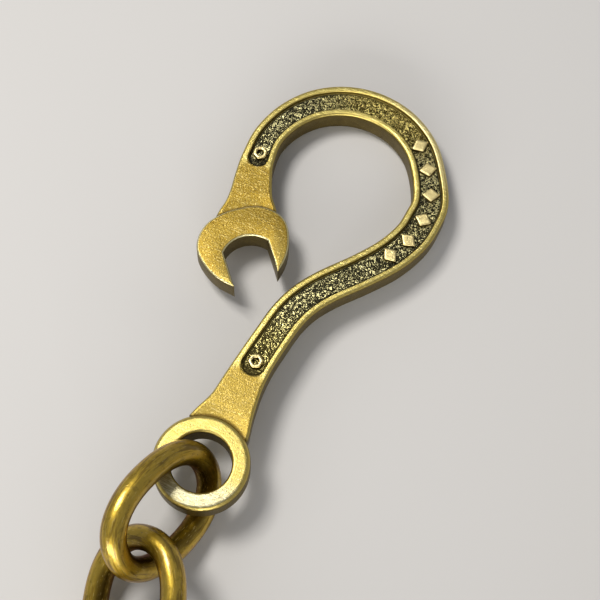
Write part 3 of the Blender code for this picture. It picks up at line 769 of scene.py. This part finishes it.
def cast_brass():
    """Sand-cast brass: grainy golden faces, paler filed rims and eye, bright edges, dull walls darkened
    partly by tarnish and partly by painted shade, painted highlights on the eye, the jaw's edges, the marks
    and a patch of rim, and painted shade where the band meets the eye and jaw head.
    """
    f = Finish("cast_brass")
    blotch = f.noise(0.22, 3)
    grain = f.noise(4.2, 2, rough=0.6)
    speck = f.noise(3.6, 3, rough=0.7)
    pit = f.ramp(f.noise(1.5, 1), 0.72, 0.80)
    strokes = f.mapped(f.place, (0.45, 4.6, 1.0), turn=(0, 0, 0.25))
    brushed = f.noise(1.0, 2, 0.9, strokes)
    scratch = f.ramp(brushed, 0.56, 0.70)

    rim = f.value("rim")
    eye_highlight = f.value("eye_highlight")
    face = f.ramp(f.upright, 0.90, 0.985)
    wall = f.ramp(f.upright, 0.66, 0.30)
    edge = f.math("SUBTRACT", 1.0, f.math("MAXIMUM", face, wall))
    worn = f.math("MAXIMUM", f.math("MULTIPLY", rim, 0.8), edge)

    golden = f.mix(blotch, (0.24, 0.155, 0.020), (0.36, 0.260, 0.046))
    golden = f.mix(f.ramp(grain, 0.54, 0.34, 0, 0.65), golden, (0.15, 0.084, 0.012))
    golden = f.mix(f.value("tip"), golden, (0.56, 0.45, 0.125))
    golden = f.mix(f.ramp(speck, 0.54, 0.68, 0, 0.8), golden, (0.86, 0.68, 0.24))
    golden = f.mix(f.math("MULTIPLY", scratch, 0.45), golden, (0.80, 0.64, 0.25))
    pale = f.mix(f.ramp(speck, 0.35, 0.65), (0.63, 0.52, 0.150), (0.78, 0.68, 0.245))
    pale = f.mix(f.ramp(brushed, 0.50, 0.36, 0, 0.6), pale, (0.42, 0.335, 0.09))
    pale = f.mix(f.math("MULTIPLY", scratch, 0.6), pale, (0.92, 0.84, 0.44))
    # On the jaw the rounded edges are painted near-white: a painted highlight over their wear.
    painted_sheen = f.mix(f.value("bright"), (0.66, 0.52, 0.15), (0.95, 0.86, 0.48))
    colour = f.mix(worn, golden, f.mix(edge, pale, painted_sheen))
    # Raised marks and the marked rim patch turn cream: on the marks wear with a painted highlight, on the rim
    # a painted highlight.
    colour = f.mix(f.math("MULTIPLY", f.value("raised"), 0.75), colour, (0.95, 0.80, 0.40))
    # Painted highlight: the marked lower part of the eye's face is turned pale silver.
    eye_highlight_colour = f.mix(f.ramp(brushed, 0.38, 0.62), (0.40, 0.37, 0.22), (0.70, 0.67, 0.48))
    colour = f.mix(f.math("MULTIPLY", eye_highlight, face), colour, eye_highlight_colour)
    colour = f.mix(f.math("MULTIPLY", pit, 0.5), colour, (0.20, 0.12, 0.03))
    # The walls' dark olive: partly tarnish, partly painted shade.
    olive = f.mix(f.noise(0.5, 3), (0.075, 0.053, 0.011), (0.19, 0.137, 0.031))
    olive = f.mix(f.ramp(speck, 0.56, 0.72, 0, 0.45), olive, (0.42, 0.32, 0.10))
    colour = f.mix(wall, colour, olive)
    # Painted shade where the band meets the eye and the jaw head.
    colour = f.mix(f.math("MULTIPLY", f.value("crease_shade"), 0.9), colour, (0.07, 0.042, 0.008))

    # The sunk floor is blackened, and worm-like casting grain stands up through it.
    depth = f.value("depth")
    floor = f.ramp(depth, 0.10, 0.28)
    clear = f.ramp(depth, 0.30, 0.60)
    gilt = f.value("gilt")
    grainy = f.math("SUBTRACT", clear, f.value("bare"))
    worms = f.noise(2.2, 1, 1.6, rough=0.5)
    cover = f.blend(f.ramp(f.noise(0.16, 2), 0.35, 0.65), -0.015, 0.02)
    cover = f.math("ADD", cover, f.math("MULTIPLY", gilt, 0.022))
    crest = f.math("MULTIPLY", f.ramp(f.math("ADD", worms, cover), 0.505, 0.55), grainy)
    dark = f.mix(f.noise(0.9, 2), (0.014, 0.014, 0.008), (0.055, 0.052, 0.032))
    dark = f.mix(f.math("MULTIPLY", gilt, 0.35), dark, (0.20, 0.15, 0.022))
    tint = f.math("ADD", f.math("MULTIPLY", gilt, 0.7), f.math("MULTIPLY", blotch, 0.4))
    shine = f.mix(tint, (0.90, 0.85, 0.46), (0.98, 0.83, 0.26))
    stippled = f.mix(crest, dark, shine)
    colour = f.mix(floor, colour, stippled)

    rough = f.blend(blotch, 0.36, 0.48)
    rough = f.blend(worn, rough, 0.30)
    rough = f.blend(wall, rough, 0.46)
    rough = f.blend(floor, rough, f.blend(crest, 0.60, 0.30))

    relief = f.bump(grain, 0.035)
    relief = f.bump(f.math("SUBTRACT", f.math("MULTIPLY", speck, 0.8), pit), 0.05, relief)
    relief = f.bump(scratch, 0.014, relief)
    relief = f.bump(f.math("MULTIPLY", f.ramp(worms, 0.40, 0.62), floor), 0.20, relief)
    return f.finish(colour, rough, relief)


def wire_brass(shift):
    """The links' smooth drawn wire, darkened by handling and on each link's inner side partly by patina and
    partly by painted shade, with streaks along it, scuffs and a few pits.
    """
    f = Finish("wire_brass", shift)
    along = f.along_wire(7.0)
    blotch = f.noise(0.16, 3, 0.5)
    smudge = f.noise(0.9, 4, rough=0.6)
    streak = f.noise(1.3, 3, 0.3, along, rough=0.6)
    hairs = f.ramp(f.noise(5.0, 2, 0.2, along), 0.60, 0.74)
    pit = f.ramp(f.noise(1.3, 1), 0.74, 0.80)

    colour = f.mix(blotch, (0.43, 0.280, 0.019), (0.64, 0.45, 0.056))
    # Each link's inner side is darker: partly patina, partly painted shade.
    colour = f.mix(f.ramp(f.value("over"), 0.0, 2.0, 0, 0.92), colour, (0.075, 0.042, 0.002))
    colour = f.mix(f.ramp(streak, 0.52, 0.36, 0, 0.8), colour, (0.15, 0.092, 0.005))
    colour = f.mix(f.ramp(smudge, 0.50, 0.70, 0, 0.55), colour, (0.21, 0.134, 0.008))
    colour = f.mix(f.ramp(f.noise(0.22, 2), 0.62, 0.76, 0, 0.35), colour, (0.56, 0.25, 0.09))
    colour = f.mix(f.math("MULTIPLY", hairs, 0.4), colour, (0.86, 0.68, 0.26))
    colour = f.mix(f.math("MULTIPLY", pit, 0.7), colour, (0.10, 0.06, 0.015))
    rough = f.blend(f.ramp(streak, 0.36, 0.62), 0.46, 0.33)
    relief = f.bump(f.noise(0.55, 2), 0.05)
    relief = f.bump(streak, 0.03, relief)
    relief = f.bump(smudge, 0.012, relief)
    relief = f.bump(f.math("SUBTRACT", f.math("MULTIPLY", hairs, 0.2), pit), 0.03, relief)
    f.put(f.shader.inputs["Specular Tint"], (0.46, 0.31, 0.09))
    f.put(f.shader.inputs["Coat Weight"], f.ramp(f.value("over"), 0.2, 2.0, 0.9, 0.2))
    f.put(f.shader.inputs["Coat IOR"], 1.5)
    f.put(f.shader.inputs["Coat Roughness"], 0.20)
    f.put(f.shader.inputs["Coat Normal"], relief)
    return f.finish(colour, rough, relief)


def turned_brass(name, turned_about_x=True):
    """The snap's lathe-turned brass: fine rings round its axis, light scuffs, darker in the hollows."""
    f = Finish(name, 5.0)
    along = (9.0, 0.25, 0.25) if turned_about_x else (0.25, 0.25, 9.0)
    rings = f.noise(1.0, 3, 0.0, f.mapped(f.place, along))
    blotch = f.noise(0.2, 3)
    scuff = f.ramp(f.noise(2.0, 3, 0.6), 0.60, 0.72)
    colour = f.mix(blotch, (0.50, 0.345, 0.055), (0.64, 0.46, 0.095))
    colour = f.mix(f.ramp(rings, 0.5, 0.3, 0, 0.3), colour, (0.26, 0.17, 0.025))
    colour = f.mix(f.math("MULTIPLY", scuff, 0.3), colour, (0.84, 0.68, 0.28))
    rough = f.blend(rings, 0.18, 0.34)
    relief = f.bump(rings, 0.012)
    relief = f.bump(scuff, 0.01, relief)
    return f.finish(colour, rough, relief)


def plain(name, colour, roughness):
    material = bpy.data.materials.new(name)
    material.use_nodes = True
    shader = material.node_tree.nodes["Principled BSDF"]
    shader.inputs["Base Color"].default_value = (*colour, 1.0)
    shader.inputs["Roughness"].default_value = roughness
    return material


def light(name, target, bearing, height, distance, size, watts, colour):
    """A soft square light, aimed at target from a compass bearing and a height above the horizon."""
    data = bpy.data.lights.new(name, "AREA")
    data.shape = "RECTANGLE"
    data.size, data.size_y = size
    data.energy = watts
    data.color = colour
    obj = bpy.data.objects.new(name, data)
    bpy.context.scene.collection.objects.link(obj)
    b, h = math.radians(bearing), math.radians(height)
    away = Vector((math.sin(b) * math.cos(h), math.cos(b) * math.cos(h), math.sin(h)))
    obj.location = target + away * distance
    obj.rotation_euler = (-away).to_track_quat("-Z", "Y").to_euler()
    return obj


def surroundings(aim):
    """A plain pale floor, a soft key from the upper left, a wide low light in front and the camera."""
    reach = 4000
    corners = [[(x, y, FLOOR) for x in (-reach, reach)] for y in (-reach, reach)]
    floor = grid_mesh("floor", np.array(corners), False, False)
    ground = bpy.data.objects.new("floor", floor)
    bpy.context.scene.collection.objects.link(ground)
    ground.data.materials.append(plain("floor", (0.56, 0.555, 0.55), 0.6))
    light("front", aim, 195, 20, 0.9, (1.0, 0.3), 6.0, (1.0, 0.98, 0.95))
    light("key", aim, -52, 64, 0.8, (0.24, 0.24), 4.8, (1.0, 0.96, 0.90))

    world = bpy.data.worlds.new("world")
    bpy.context.scene.world = world
    world.use_nodes = True
    sky = world.node_tree.nodes["Background"]
    sky.inputs["Color"].default_value = (0.66, 0.66, 0.67, 1.0)
    sky.inputs["Strength"].default_value = 0.46
    bpy.context.scene.view_settings.view_transform = "Standard"

    camera = bpy.data.objects.new("camera", bpy.data.cameras.new("camera"))
    bpy.context.scene.collection.objects.link(camera)
    camera.data.angle = FIELD_OF_VIEW
    camera.data.clip_start = 0.01
    lean = Vector((0, -math.sin(CAMERA_LEAN), math.cos(CAMERA_LEAN)))
    camera.location = aim + lean * CAMERA_DISTANCE
    camera.rotation_euler = (CAMERA_LEAN, 0, 0)
    bpy.context.scene.camera = camera


def main():
    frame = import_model()

    hook = hook_matrix(frame)
    cast = cast_brass()
    pieces = [("hook_band", band_mesh()), ("hook_jaw", jaw_mesh()), ("hook_eye", eye_mesh())]
    pieces += [(f"hook_{mesh.name}", mesh) for mesh in mark_meshes()]
    for name, mesh in pieces:
        nodes = ["wrench_hook"] if name == "hook_band" else []
        add(name, mesh, hook, [cast], "hook", *nodes)

    base = link_mesh()
    for k in range(1, LINKS + 1):
        body, node = f"link_{k:02d}", f"chain_link_{k:02d}"
        finish = wire_brass(17.0 * k)
        link = add(f"{body}_wire", base.copy(), oval_matrix(frame["nodes"][node]), [finish], body, node)

    snap = snap_matrix(frame)
    lathe = turned_brass("turned_brass")
    upright = turned_brass("turned_brass_stud", False)
    roll = snap @ Matrix.Rotation(SWIVEL_ROLL, 4, "X")
    add("swivel_ring", swivel_eye_mesh(), roll, [lathe], "swivel", "swivel_eye")
    add("snap_casting", snap_body_mesh(), snap, [lathe], "snap", "snap_body")
    add("snap_plunger", snap_bolt_mesh(), snap, [lathe], "bolt", "snap_bolt")
    add("snap_stud", thumb_stud_mesh(), snap, [upright], "bolt", "thumb_stud")

    eye = hook.translation
    surroundings(Vector((eye.x, eye.y, 0)) + AIM_FROM_EYE)


main()
